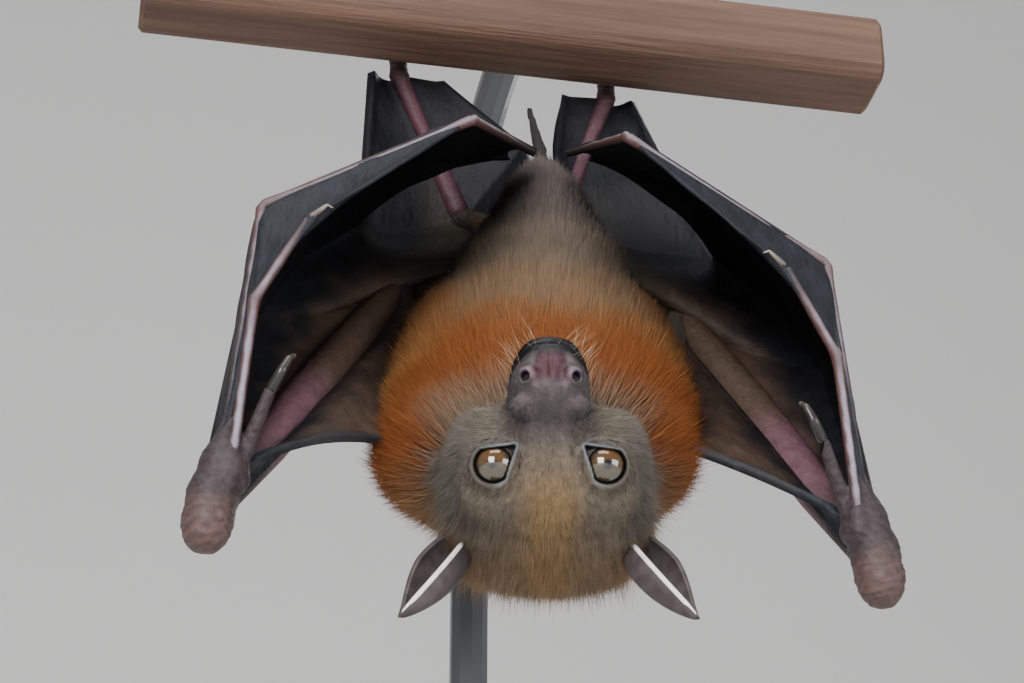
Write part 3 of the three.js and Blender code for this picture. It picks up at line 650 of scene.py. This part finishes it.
for s in (-1, 1):
    def m(p, s=s):
        return swung(p, s)

    def o(p, s=s):
        return own(p, s)
    tip3 = turned((s * 2.0 + 1.2, -5.4, 200.5))
    tip4 = turned((s * 5.6 + 1.4, 2.0, 205))
    hip = hip_at(s)
    flank = turned((s * 7.2 + 1, 3.0, 189))
    shoulder = turned((s * 13.2 + 0.8, -2, 157))
    ankle, knee = o(ANKLE), knee_at(s)
    half5 = (A(MCP5) + A(WRIST5)) / 2
    shin = A([s * 10.9 + 0.8, 12, 212])

    # hand: one swelling at the wrist that the bones, thumb and forearm grow out of
    def hand(p, m=m):
        d = chain_field(p, [m((39.5, -21.2, 133.4)), m((39.4, -21.2, 134.6)), m((39.1, -21.2, 138)),
                            m((38.1, -21.6, 142)), m((36.9, -23.2, 148))], [2.5, 2.75, 2.7, 2.4, 0.7], 1.0)
        d = smin(d, cone(p, m((36.2, -21.6, 140)), m((38.6, -20.6, 145)), 1.4, 0.9), 1.2)
        d = smin(d, cone(p, m(WRIST), m(WRIST) * 0.5 + m(MIDARM) * 0.5, 1.7, 1.2), 1.4)
        thumb = chain_field(p, [m((36.6, -22.4, 140.6)), m(THUMB0), m(THUMB1)], [1.2, 0.95, 0.72], 0.4)
        d = smin(d, thumb, 0.9)
        for a, b, r in (((37, -23.2, 139.5), MCP2, 0.8), ((38.4, -21.6, 138), (36.9, -23.4, 156), 0.75),
                        (WRIST4, MCP4, 0.66), (WRIST5, MCP5, 0.68)):
            a, b = m(a), m(b)
            d = smin(d, cone(p, a, a + (b - a) * 0.4, r, r * 0.3), 1.0)
        knob = far(p, m((39.4, -21.2, 133.6)))
        ridge = np.sin(p[:, 2] * 6.4 + 3.0 * ripple(p, 1.0)) * (0.5 + 0.5 * ripple(p, 0.6, 3))
        d = d - 0.25 * np.exp(-(far(p, m((39.6, -23.4, 133.8))) / 0.9) ** 2)
        return d + 0.13 * ridge * (1 - 0.6 * step(knob, 4, 9))

    def hand_paint(p, m=m):
        knob = far(p, m((39.5, -21.2, 133.4)))
        tone = blend(KNOB, HAND, step(knob + 0.5 * ripple(p, 1.3), 2.6, 6.0))
        ridge = np.sin(p[:, 2] * 6.4 + 3.0 * ripple(p, 1.0))
        return tone * (1 + 0.25 * ripple(p, 0.45) + 0.12 * ridge)[:, None]
    x = sorted((m((29, 0, 0))[0], m((44.5, -21, 0))[0]))
    add_field(hand, (x[0] - 1, -30, 126), (x[1] + 1, -14, 154), 0.23, hand_paint)

    # foot: sole and five toes over the perch, swelling at the knuckles
    def foot(p, ankle=ankle, shin=shin, o=o):
        ax, az = ANKLE[0], ANKLE[2]
        sole = [ankle * 0.6 + shin * 0.4, ankle, o((ax + .2, 9.8, az + 4.5)), o((ax + .3, 8.4, az + 8.4))]
        d = chain_field(p, sole, [1.0, 1.15, 1.4, 1.3], 1.0)
        for toe in range(-2, 3):
            tx = ax + toe * 1.3
            joints = [(ax + toe * 0.62, 8.6, 228.4), (tx, 7.4, 232.3), (tx, 4.2, 233), (tx, 1.6, 232)]
            d = smin(d, chain_field(p, [o(q) for q in joints], [0.75, 0.6, 0.6, 0.42], 0.25), 0.5)
        return d + 0.07 * np.sin(p[:, 2] * 7 + ripple(p, 0.9))
    x = sorted((o((10.5, 0, 0))[0], o((19.5, 0, 0))[0]))

    def foot_paint(p):
        return blend(SHIN, BONE_DARK, step(p[:, 2], 219, 227)) * (0.75 + 0.2 * ripple(p, 0.7))[:, None]
    add_field(foot, (x[0], -1, 217.5), (x[1], 13, 235), 0.27, foot_paint)
    for toe in range(-2, 3):
        tx = ANKLE[0] + toe * 1.3
        add_tube([o((tx, 2.0, 232.3)), o((tx, 0.4, 232.7)), o((tx, -1.0, 232.3)), o((tx, -1.7, 231.5))],
                 [0.38, 0.36, 0.27, 0.1], [rgb("2a2420"), rgb("5c5048")], 0, claws, sides=8, rows=14)

    # arm, shin and finger bones; the finger bones with a soft swelling at their joints
    add_tube([m(WRIST), m(MIDARM), m(ELBOW)], [1.3, 1.9, 2.5, 2.7, 2.8, 2.7, 2.4, 1.7],
             [ARM_DARK] * 2 + [ARM_PINK] * 2 + [ARM_BROWN] * 4, 3, rows=60, sides=18)
    add_tube([knee, shin, ankle], [1.7, 1.15, 1.15], [SHIN * 0.6, SHIN * 1.1, SHIN], 3, rows=36)
    add_tube([m((38.4, -21.6, 138)), m((36.9, -23.4, 156)), m(MCP3), m(IP3), (m(IP3) + tip3) / 2, tip3],
             [0.72, 0.5, 0.62, 0.56, 0.42, 0.28],
             [HAND, BONE_DARK, BONE_PINK, BONE_PINK, BONE_PINK * 0.6, BONE_DARK * 0.5],
             bone_and_highlight=[0, 0.3, 0.1, 0.6, 0.2, 0.5, 0.6, 0.6, 0.1, 0, 0], rows=170, knob=0.22)
    add_tube([m((37, -23.2, 139.5)), m(MCP2), m(END2)], [0.68, 0.6, 0.62, 0.56, 0.48],
             [HAND, BONE_PINK, BONE_PINK, BONE_PINK, BONE_DARK],
             bone_and_highlight=[0.2, 1, 1, 0.9, 0.25, 0.7, 0.4, 0.1, 0], rows=110, knob=0.2)
    for joints in ([m(WRIST4), m(MCP4), m(IP4), tip4], [m(WRIST5), m(MCP5), m(IP5), m(TIP5)]):
        add_tube(joints, [0.66, 0.56, 0.48, 0.3], [HAND, BONE_DARK * 0.7, BONE_DARK * 0.6, BONE_DARK * 0.5],
                 rows=110, knob=0.2)

    # wing skin
    def dark_wing(p, u, v, side):
        tone = blend(INK, BROWN_BLACK, 0.5 + 0.4 * ripple(p, 5))
        return tone * (1 + 0.25 * ripple(p, 1.1))[:, None]

    def strip(p, u, v, side):
        pale = 0.25 + 0.35 * ripple(p, 1.6) + 0.5 * (1 - step(v, 0, 0.3))
        tone = blend(SLATE, SLATE_PALE, np.clip(pale, 0, 1))
        return tone * (1 + 0.15 * ripple(p, 0.6))[:, None]

    def inner_wing(p, u, v, side):
        edge = v + 0.12 * ripple(p, 2.2)
        by_arm = step(edge, 0.2, 0.6) * (1 - step(u, 0.5, 0.7))
        tone = blend(dark_wing(p, u, v, side), ARM_BROWN, 0.85 * by_arm)
        tone = blend(tone, ARM_PINK, 0.8 * step(edge, 0.3, 0.75) * (1 - step(u, 0.16, 0.34)))
        return blend(tone, OLIVE_WING, step(v, 0.45, 0.9) * step(u, 0.42, 0.6) * (1 - step(u, 0.75, 0.9)))

    def side_skin(p, u, v, side):
        tone = OLIVE_WING * (0.8 + 0.2 * ripple(p, 1.2))[:, None]
        return blend(tone, markings(p) * 0.8, step(v, 0.2, 0.8))

    def front_wing(p, u, v, side):
        tone = blend(SLATE, ARM_BROWN * 0.8, step(u + 0.15 * ripple(p, 2.2), 0.15, 0.6))
        tone = blend(tone, INK, 0.25 * step(v, 0.1, 0.5))
        tone = blend(tone, SLATE_PALE, 0.8 * (1 - step(v, 0.02, 0.08)))
        return tone * (1 + 0.25 * ripple(p, 1.0))[:, None]
    f3 = chain([m(WRIST), m(MCP3), m(IP3), tip3])
    f4 = chain([m(WRIST4), m(MCP4), m(IP4), tip4])
    f5 = chain([m(WRIST5), m(MCP5), m(IP5), m(TIP5)])
    f2 = chain([m(WRIST), m(MCP2), m(END2)])
    add_sheet(ruled(f2, chain([m(WRIST), m(MCP3), m(IP3)]), (0, 0, 0)), 90, 14, strip, ripples=0.12)
    bow = o((0.6, 0.6, 1.2))
    add_sheet(ruled(f3, f4, bow, 0.02), 90, 22, dark_wing, ripples=0.16)
    add_sheet(ruled(f4, f5, bow, 0.12), 90, 22, dark_wing, ripples=0.16, seed=2)
    add_sheet(ruled(chain([m(WRIST5), m(half5), m(MCP5), m(IP5), m(TIP5), o(OUTER_EDGE)]),
                    chain([m(WRIST), m(MIDARM), m(ELBOW), flank, knee, ankle]), o((-0.6, 1.6, 0))),
              130, 26, inner_wing, ripples=0.2, seed=4)
    add_sheet(ruled(chain([m(ELBOW), m((17.2, 3.4, 171)), shoulder]),
                    chain([flank, turned((s * 7.6 + 1, 2.4, 178)), turned((s * 7.6 + 1, 0.6, 168))]),
                    (0, 0.8, 0)),
              40, 16, side_skin, hem=0.4, ripples=0.15)
    add_sheet(ruled(arc(m((36, -21.4, 142)), m((27, -17, 148.6)), turned((s * 17, -14, 152))),
                    chain([m((37.6, -22, 136)), m((18.2, 5.6, 181)), turned((s * 13.2 + 0.8, -4.5, 157))]),
                    (0, -0.6, -0.6)), 60, 22, front_wing, ripples=0.15, seed=6)
    by_tail = chain([o(INNER_EDGE), turned((s * 2.2 + 0.4, 8.4, 211)), turned((s * 1.8 + 0.8, 6.2, 204))])
    add_sheet(ruled(by_tail, chain([ankle, knee, hip]), (0, 0, 0)), 40, 14, dark_wing, ripples=0.12)

    # ear: a funnel open to the side, with a smooth pale front rim
    def funnel(u, v, s=s):
        return ear_surface(u, v, s)

    def ear_paint(p, u, v, side):
        tone = EAR_DARK * (0.9 + 0.25 * ripple(p, 0.8))[:, None]
        # one face of the funnel darker toward the root: painted shade inside the ear
        return blend(tone, EAR_DARK * 0.45, 0.7 * (side > 0) * (1 - step(u, 0.1, 0.7)))
    add_sheet(funnel, 50, 44, ear_paint, 4, thick=0.2, hem=0.3)
    rim_u = np.linspace(0.03, 0.985, 14)
    add_tube(list(funnel(rim_u, np.zeros(14))), [0.25] + [0.33] * 10 + [0.32, 0.25, 0.15],
             [EAR_RIM * 0.8, EAR_RIM, EAR_RIM], 5, rows=56, sides=12)

    # claws of thumb and second finger
    add_tube([m(THUMB1), m((31.4, -28.1, 151.0)), m((30.6, -28.2, 152.7)), m((30.1, -27.4, 153.6)),
              m((30.2, -26.7, 153.6))],
             [0.7, 0.66, 0.44, 0.26, 0.08], [rgb("1d1a1a"), rgb("24201f"), rgb("4b423c"), rgb("b9ab9c")],
             0, claws, rows=34)
    add_tube([m(END2), m((27.6, -30.1, 172.0)), m((26.9, -30.2, 172.7)), m((26.1, -29.9, 172.5))],
             [0.44, 0.3, 0.17, 0.05], [rgb("4e4541"), rgb("8a7e75")], 0, claws, rows=22)

skin_obj = skin.build("skin")
claw_obj = claws.build("claws")

# ---- eyes
IRIS, IRIS_LOW, IRIS_EDGE = palette("462d10 36311f 120d09")
PUPIL, SCLERA = palette("0b0a0a 4a4745")
eye_objs = []
for s, tag in ((-1, "left"), (1, "right")):
    g, x, y = eye_frame(s)
    theta, phi = np.meshgrid(np.linspace(0.02, math.pi - 0.02, 48), np.arange(64) * math.pi / 32,
                             indexing="ij")
    theta, phi = theta.ravel(), phi.ravel()
    way = (g * np.cos(theta)[:, None] + x * (np.sin(theta) * np.cos(phi))[:, None]
           + y * (np.sin(theta) * np.sin(phi))[:, None])
    v = EYES[s] + way * (EYE_R * (1 + 0.035 * np.exp(-(theta / 0.6) ** 2)))[:, None]
    fibre = 0.5 + 0.5 * np.sin(phi * 21 + 3 * np.sin(phi * 5))
    tone = blend(IRIS_LOW, IRIS, step(np.sin(theta) * np.sin(phi), -0.3, 0.4))
    tone = tone * (1 + 0.35 * fibre)[:, None]
    tone = blend(tone, IRIS_EDGE, step(theta, 0.5, 0.78))
    tone = blend(tone, PUPIL, 1 - step(theta, 0.15, 0.24))
    tone = blend(tone, SCLERA, step(theta, 0.84, 0.9))
    eye_objs.append(make("eye_ball_" + tag, v, grid_faces(48, 64, wrap=True), tone))

# ---- coat
fur_v = np.concatenate(fur_verts)
fur_q = np.concatenate(fur_faces)
fur_t = np.concatenate([fur_q[:, [0, 1, 2]], fur_q[:, [0, 2, 3]]])
corner = fur_v[fur_t]
cross = np.cross(corner[:, 1] - corner[:, 0], corner[:, 2] - corner[:, 0])
area = np.linalg.norm(cross, axis=1) / 2
fur_n = np.zeros_like(fur_v)
for i in range(3):
    np.add.at(fur_n, fur_t[:, i], cross)
fur_n = unit(fur_n)
centre = corner.mean(1)


def scatter(points, size, seed):
    """The nearest of a set of loosely scattered centres, one for each lock."""
    cell = np.floor(points / size).astype(np.int64)
    best, near = np.full(len(points), 1e9), np.zeros_like(points)
    for i in range(-1, 2):
        for j in range(-1, 2):
            for k in range(-1, 2):
                c = cell + (i, j, k)
                h = (c[:, 0] * 73856093) ^ (c[:, 1] * 19349663) ^ (c[:, 2] * 83492791) ^ (seed * 912931)
                mixed = [((h * (n * 2246822519 + 374761393)) >> 9) & 1023 for n in (1, 2, 3)]
                jitter = np.stack(mixed, 1) / 1023
                q = (c + jitter) * size
                d = ((q - points) ** 2).sum(1)
                closer = d < best
                best = np.where(closer, d, best)
                near[closer] = q[closer]
    return near


def regions(p):
    """Which part of the coat a place belongs to."""
    h, t = to_head(p), trunk_frame(p)
    head = (off_head(p) < 0.4) & (h[:, 1] > -7.5) & ~((h[:, 2] < -5.6) & (h[:, 1] < 11))
    h = h + (3.0 * ripple(p * 9, 1.0, 4))[:, None]
    front = t[:, 1] < 1.5
    part = np.full(len(p), 5)
    part[t[:, 2] > 14] = 4
    part[front & (t[:, 2] <= 14)] = 3
    part[t[:, 2] < -3] = 2
    part[head & (h[:, 1] <= 3.5)] = 1
    part[head & (h[:, 1] > 3.5)] = 0
    return part


PARTS = ["face", "crown", "ruff", "chest", "pelvis", "back"]
part_of = regions(centre)


def bare(p):
    """1 where no hair grows: eyes, nose, lips, nostrils and the tail."""
    h = to_head(p)
    a = np.abs(h[:, 0])
    out = step(h[:, 1], 15.9, 16.7) * step(-a, -3.9, -3.3) * step(-h[:, 2], -1.2, -0.4)
    out = np.maximum(out, step(-h[:, 2], 3.0, 3.8) * step(h[:, 1], 10.0, 12.0))
    for side in (-1, 1):
        depth, gap, _ = eye_opening(p, side)
        out = np.maximum(out, (1 - step(gap, 0.45, 0.8)) * (depth > -0.5))
    for side in (-1, 1):
        out = np.maximum(out, 1 - step(far(p, swung(ELBOW, side)), 1.5, 4.0))
    return np.maximum(out, p[:, 2] > TAIL_BARE_FROM)


def lie_and_length(p, n):
    h, t = to_head(p), trunk_frame(p)
    nose = head_point((0, 16.0, -1.0))
    off_nose = unit(p - nose)
    outward = unit(p - head_point((0, 1.0, 0.0)))
    tailward = np.broadcast_to(TRUNK_M @ A([0, 0, 1.0]), p.shape)
    part = regions(p)
    on_head = (part <= 1)[:, None]
    ruff = (1 - step(t[:, 2], -10, 2))[:, None]
    way = np.where(on_head, off_nose, outward * (0.25 + 0.6 * ruff) + tailward * (0.9 - 0.45 * ruff))
    way = unit(way - n * (way * n).sum(1, keepdims=True))
    a, f, c = np.abs(h[:, 0]), h[:, 1], h[:, 2]
    length = 0.55 + 0.75 * (1 - step(f, 7, 13)) + 0.9 * (1 - step(f, -1, 6)) * step(c, 4, 9)
    length = length + 1.6 * step(a, 7, 11) * (1 - step(f, 1, 7))
    length = length + 3.0 * (1 - step(f, -6, 1)) * (1 - 0.6 * step(c, 5, 9))
    cheek = step(a, 5, 8.5) * step(f, 2, 6) * step(-c, -1.5, 1.5)
    length = length + 1.3 * cheek
    stand = 26 + 14 * (1 - step(f, -3, 7)) + 12 * step(a, 8, 11) * (1 - step(f, 0, 6)) + 12 * cheek
    along = t[:, 2]
    body = 5.3 - 0.8 * step(along, -10, 4) - 1.1 * step(along, 8, 20)
    arm = step(trunk_core(p), 0.3, 1.5)
    length = np.where(part <= 1, length, body * (1 - 0.6 * arm))
    lean = 46 - 12 * step(along, -12, 2) - 5 * step(along, 8, 20) - 10 * arm
    stand = np.where(part <= 1, stand, lean)
    return way, length, np.radians(stand)


ROOT_SUNK = 0.15        # how far a tuft starts below the skin
UV_PATCH, UV_EDGE = 0.003, 0.001


def coat(part, count, segments, width, clump, gather, seed):
    chosen = part_of == part
    weight = area[chosen] * (1 - bare(centre[chosen]))
    pick = rng.choice(np.flatnonzero(chosen), count, p=weight / weight.sum())
    w = rng.random((count, 2))
    w[w.sum(1) > 1] = 1 - w[w.sum(1) > 1]
    w = np.c_[1 - w.sum(1), w]
    root = (fur_v[fur_t[pick]] * w[..., None]).sum(1)
    n = unit((fur_n[fur_t[pick]] * w[..., None]).sum(1))
    way, length, stand = lie_and_length(root, n)
    rare, longer = (0.07, 1.6) if part == 1 else (0.02, 1.3)
    length = length * rng.uniform(0.72, 1.15, count) * np.where(rng.random(count) < rare, longer, 1.0)
    spin = rng.normal(0, 0.16, count)
    way = unit(way + np.cross(n, way) * spin[:, None])
    stand = stand + rng.normal(0, 0.10, count)
    direct = way * np.cos(stand)[:, None] + n * np.sin(stand)[:, None]
    low = np.maximum(stand - 0.45, 0.04)
    late = way * np.cos(low)[:, None] + n * np.sin(low)[:, None]
    lock = scatter(root, clump, seed)
    pull = lock - root
    pull -= n * (pull * n).sum(1, keepdims=True)
    middle = root + direct * (length * 0.5)[:, None] + pull * gather * 0.35
    tip = root + (direct + late) * (length * 0.5)[:, None] + pull * gather
    tone = markings(root)
    lock_tone = np.sin(lock @ A([12.9898, 78.233, 37.719])) * 43758.5453
    lock_tone = lock_tone - np.floor(lock_tone)
    vary = 0.5 if part <= 1 else 0.34
    light = rng.normal(1, 0.20 if part <= 1 else 0.14, count) * (1 - vary / 2 + vary * lock_tone)
    tone = tone * light[:, None]
    # each tuft lighter at its tip and darker at its root; the darker root is partly the hair's own colour,
    # partly painted shade deep in the coat
    tip_tone = np.clip(tone * (1.25 if part <= 1 else 1.15), 0, 1)
    root_tone = tone * (0.6 if part <= 1 else 0.72)
    side = unit(np.cross(direct, n + 1e-4))
    flat = np.cross(direct, side)
    ang = np.arange(3) * 2 * math.pi / 3 + rng.uniform(0, 6.28, count)[:, None]
    ring = (side[:, None] * np.cos(ang)[..., None] + flat[:, None] * np.sin(ang)[..., None]) * width / 2
    thick = rng.uniform(0.7, 1.25, count)[:, None, None]
    rings = [root[:, None] - n[:, None] * ROOT_SUNK + ring * thick]
    tones = [np.repeat(root_tone[:, None], 3, 1)]
    if segments == 2:
        rings.append(middle[:, None] + ring * 0.8 * thick)
        tones.append(np.repeat(tone[:, None], 3, 1))
    rings.append(tip[:, None])
    tones.append(tip_tone[:, None])
    verts = np.concatenate(rings, 1)
    colours = np.concatenate(tones, 1)
    per = verts.shape[1]
    top = per - 1
    pattern = []
    for i in range(3):
        j = (i + 1) % 3
        if segments == 2:
            pattern += [(i, j, 3 + j), (i, 3 + j, 3 + i), (3 + i, 3 + j, top)]
        else:
            pattern += [(i, j, top)]
    faces = (np.arange(count)[:, None, None] * per + np.array(pattern)[None]).reshape(-1, 3)
    layer_tag = "" if seed < 10 else "_" + str(seed // 10)
    obj = make("coat_" + PARTS[part] + layer_tag, verts.reshape(-1, 3), faces, colours.reshape(-1, 3))
    # lit mostly like the skin it grows on, so that the coat reads as soft
    soft = unit(n * 0.8 + direct * 0.3 + side * rng.normal(0, 0.3, count)[:, None])
    obj.data.normals_split_custom_set_from_vertices(np.repeat(soft, per, 0))
    # every tuft is a small patch at its root's place on an unwrap round the spine
    if part <= 1:
        h = to_head(root)
        flatmap = np.stack([np.arctan2(h[:, 0], h[:, 2]), h[:, 1]], 1)
    else:
        t = trunk_frame(root)
        flatmap = np.stack([np.arctan2(t[:, 0], t[:, 1]), t[:, 2]], 1)
    flatmap = (flatmap - flatmap.min(0)) / (flatmap.max(0) - flatmap.min(0)) * (1 - 2 * UV_PATCH) + UV_EDGE
    bend = [(0, 0.6), (0.5, 0.6), (1, 0.6)] if segments == 2 else []
    local = [(0, 0), (0.5, 0), (1, 0)] + bend + [(0.45, 1)]
    uv = (flatmap[:, None] + A(local)[None] * UV_PATCH).reshape(-1, 2)
    layer = obj.data.uv_layers.new(name="OFBake")
    index = np.zeros(len(obj.data.loops), np.int32)
    obj.data.loops.foreach_get("vertex_index", index)
    layer.data.foreach_set("uv", uv[index].astype(np.float32).ravel())
    return obj


share = 1.0


def some(n):
    return int(n * share)


FUR = [  # part, tufts, bends, width, size of a lock, pull into it, seed
    (0, 66000, 1, 0.095, 0.5, 0.25, 1),
    (0, 42000, 1, 0.08, 0.4, 0.2, 11),
    (1, 66000, 1, 0.10, 0.7, 0.30, 2),
    (2, 66000, 1, 0.115, 1.1, 0.45, 3),
    (2, 66000, 1, 0.10, 0.8, 0.40, 13),
    (2, 21500, 2, 0.13, 1.3, 0.55, 23),
    (3, 66000, 1, 0.11, 0.9, 0.45, 4),
    (4, 30000, 1, 0.11, 0.9, 0.40, 5),
    (5, 11000, 2, 0.16, 1.3, 0.50, 6),
]
coats = [coat(a, some(n), *rest) for a, n, *rest in FUR]

# whiskers
whiskers = Pile()
for i in range(70):
    s = 1 if i % 2 else -1
    root = head_point((s * rng.uniform(0.4, 4.2), rng.uniform(12.5, 17.0), rng.uniform(-7.4, -3.0)))
    root = root - (off_head(root[None])[0] + 0.3) * unit(root - head_point((0, 12, -3)))
    way = unit(HEAD_M @ A([s * rng.uniform(0.2, 1.0), rng.uniform(0.3, 1.0), rng.uniform(-1.0, -0.1)]))
    end = root + way * rng.uniform(1.6, 4.2)
    v, f, _, _ = tube([root, (root + end) / 2, end], [0.02, 0.016, 0.005], sides=4, rows=6)
    whiskers.add(v, f, rgb("a5947c"), 0)
whisker_obj = whiskers.build("whiskers")

# ---- materials


def material(name, rough, spec=0.4, tint=None, grain=(), relief=(), coat_weight=0.0):
    """Principled surface: vertex tint or plain colour, varied by `grain`, raised by `relief` noise."""
    mat = bpy.data.materials.new(name)
    mat.use_nodes = True
    tree = mat.node_tree
    shader = tree.nodes["Principled BSDF"]
    shader.inputs["Roughness"].default_value = rough
    shader.inputs["Specular IOR Level"].default_value = spec
    shader.inputs["Coat Weight"].default_value = coat_weight
    shader.inputs["Coat Roughness"].default_value = 0.05
    if tint is None:
        source = tree.nodes.new("ShaderNodeAttribute")
        source.attribute_name = "tint"
        colour = source.outputs["Color"]
    else:
        source = tree.nodes.new("ShaderNodeRGB")
        source.outputs[0].default_value = (*tint, 1)
        colour = source.outputs[0]
    where = tree.nodes.new("ShaderNodeTexCoord")

    def noise(scale, stretch):
        place = tree.nodes.new("ShaderNodeMapping")
        place.inputs["Scale"].default_value = stretch
        tree.links.new(where.outputs["Object"], place.inputs["Vector"])
        texture = tree.nodes.new("ShaderNodeTexNoise")
        texture.inputs["Scale"].default_value = scale
        texture.inputs["Detail"].default_value = 5
        texture.inputs["Roughness"].default_value = 0.6
        tree.links.new(place.outputs["Vector"], texture.inputs["Vector"])
        return texture.outputs["Fac"]
    for scale, stretch, low, high in grain:
        spread = tree.nodes.new("ShaderNodeMapRange")
        spread.inputs["From Min"].default_value = 0.3
        spread.inputs["From Max"].default_value = 0.7
        spread.inputs["To Min"].default_value = low
        spread.inputs["To Max"].default_value = high
        tree.links.new(noise(scale, stretch), spread.inputs["Value"])
        tone = tree.nodes.new("ShaderNodeHueSaturation")
        tree.links.new(spread.outputs["Result"], tone.inputs["Value"])
        tree.links.new(colour, tone.inputs["Color"])
        colour = tone.outputs["Color"]
    tree.links.new(colour, shader.inputs["Base Color"])
    normal = None
    for scale, stretch, height in relief:
        bump = tree.nodes.new("ShaderNodeBump")
        bump.inputs["Distance"].default_value = height
        tree.links.new(noise(scale, stretch), bump.inputs["Height"])
        if normal:
            tree.links.new(normal, bump.inputs["Normal"])
        normal = bump.outputs["Normal"]
    if normal:
        tree.links.new(normal, shader.inputs["Normal"])
    return mat


EVEN = (1, 1, 1)
fur_skin = material("fur_skin", 0.8, 0.2, grain=[(900, (1, 1, 0.35), 0.8, 1.2)],
                    relief=[(1500, (1, 1, 0.4), 0.0002)])
wet_mat = material("moist_skin", 0.42, 0.25, grain=[(700, EVEN, 0.85, 1.15)], relief=[(1600, EVEN, 0.00012)])
wing_mat = material("wing_skin", 0.6, 0.22, grain=[(420, EVEN, 0.8, 1.2)],
                    relief=[(700, (1, 1, 0.45), 0.0003), (160, EVEN, 0.0004)])
bone_mat = material("bone_skin", 0.5, 0.35, grain=[(600, EVEN, 0.85, 1.15)], relief=[(1300, EVEN, 0.00015)])
limb_mat = material("limb_skin", 0.55, 0.35, grain=[(500, EVEN, 0.8, 1.2)], relief=[(1000, EVEN, 0.00025)])
ear_mat = material("ear_skin", 0.6, 0.3, grain=[(350, EVEN, 0.85, 1.15)], relief=[(900, EVEN, 0.00015)])
rim_mat = material("ear_rim", 0.5, 0.4, grain=[(300, EVEN, 0.95, 1.05)])
hair_mat = material("coat_hair", 0.7, 0.12)
claw_mat = material("claw_horn", 0.3, 0.5, grain=[(500, EVEN, 0.85, 1.15)])
eye_mat = material("eye_gloss", 0.12, 0.6, coat_weight=1.0)
wood_mat = material("perch_wood", 0.7, 0.3, tint=rgb("584236"),
                    grain=[(60, (0.25, 4, 4), 0.7, 1.3), (300, (0.12, 3, 3), 0.8, 1.2)],
                    relief=[(500, (0.06, 1, 1), 0.0006), (60, (0.2, 1, 1), 0.0008)])
rod_mat = material("stand_steel", 0.35, 0.5, tint=rgb("46484c"), relief=[(900, EVEN, 0.00003)])
plate_mat = material("stand_plate", 0.5, 0.4, tint=rgb("2f2f30"), relief=[(700, EVEN, 0.00005)])

for mat in (fur_skin, wing_mat, bone_mat, limb_mat, ear_mat, rim_mat, wet_mat):
    skin_obj.data.materials.append(mat)
claw_obj.data.materials.append(claw_mat)
whisker_obj.data.materials.append(hair_mat)
for piece in eye_objs:
    piece.data.materials.append(eye_mat)
for piece in coats:
    piece.data.materials.append(hair_mat)


def finish_node(name, mat):
    node = nodes[name]
    if not node.material_slots:
        node.data.materials.append(mat)
    for place in node.material_slots:
        place.material = mat


finish_node("perch", wood_mat)
finish_node("stand_rod", rod_mat)
finish_node("stand_base", plate_mat)

# ---- which solids are hidden, and the body the new pieces follow
CLAWS = ["thumb_claw_left", "thumb_claw_right", "digit2_claw_left", "digit2_claw_right"]
KEPT = ["perch", "stand_rod", "stand_base", "eye_left", "eye_right", *CLAWS]
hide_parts(*[n for n in nodes if n not in KEPT])
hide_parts(*CLAWS)
for piece, tag in zip(eye_objs, ("left", "right")):
    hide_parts("eye_" + tag)
for piece in (skin_obj, claw_obj, whisker_obj, *eye_objs, *coats):
    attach(piece, "root")

# ---- studio
floor_mat = material("studio", 0.9, 0.1, tint=(0.80, 0.79, 0.78))


AIM = (0, -0.01, 0.16)


def sweep():
    """A pale floor that curves up into a backdrop."""
    profile = [(-2500, 0), (900, 0)]
    profile += [(900 + 500 * math.sin(a), 500 - 500 * math.cos(a))
                for a in np.linspace(0.1, math.pi / 2, 14)]
    profile += [(1400, 2800)]
    rows = A([[x, y, z - 0.05] for y, z in profile for x in (-3000, 3000)])
    obj = make("studio_sweep", rows, grid_faces(len(profile), 2)[:, ::-1])
    obj.data.materials.append(floor_mat)


sweep()


def lamp(name, place, size, power):
    data = bpy.data.lights.new(name, "AREA")
    data.shape, data.size, data.energy = "SQUARE", size, power
    obj = bpy.data.objects.new(name, data)
    obj.location = place
    obj.rotation_euler = (Vector(AIM) - Vector(place)).to_track_quat("-Z", "Y").to_euler()
    bpy.context.collection.objects.link(obj)


lamp("key", (-0.50, -0.95, 0.28), 0.5, 15)
lamp("fill", (0.70, -0.80, 0.10), 0.6, 9)
lamp("top", (-0.1, -0.45, 0.9), 0.6, 6)
lamp("rim", (0.25, 0.6, 0.75), 0.5, 6)

world = bpy.data.worlds.new("studio_world")
world.use_nodes = True
world.node_tree.nodes["Background"].inputs["Color"].default_value = (0.80, 0.80, 0.82, 1)
world.node_tree.nodes["Background"].inputs["Strength"].default_value = 0.45
bpy.context.scene.world = world

LENS_MM, SENSOR_MM = 87.89, 36
CAMERA_AT = (-0.0537, -0.2761, 0.0120)
camera = bpy.data.cameras.new("camera")
camera.lens, camera.sensor_width = LENS_MM, SENSOR_MM
camera.clip_start, camera.clip_end = 0.01, 20
cam = bpy.data.objects.new("camera", camera)
YAW, PITCH = math.radians(10.9), math.radians(30)
cam.location = CAMERA_AT
look = Vector((math.sin(YAW) * math.cos(PITCH), math.cos(YAW) * math.cos(PITCH), math.sin(PITCH)))
cam.rotation_euler = look.to_track_quat("-Z", "Y").to_euler()
bpy.context.collection.objects.link(cam)
bpy.context.scene.camera = cam
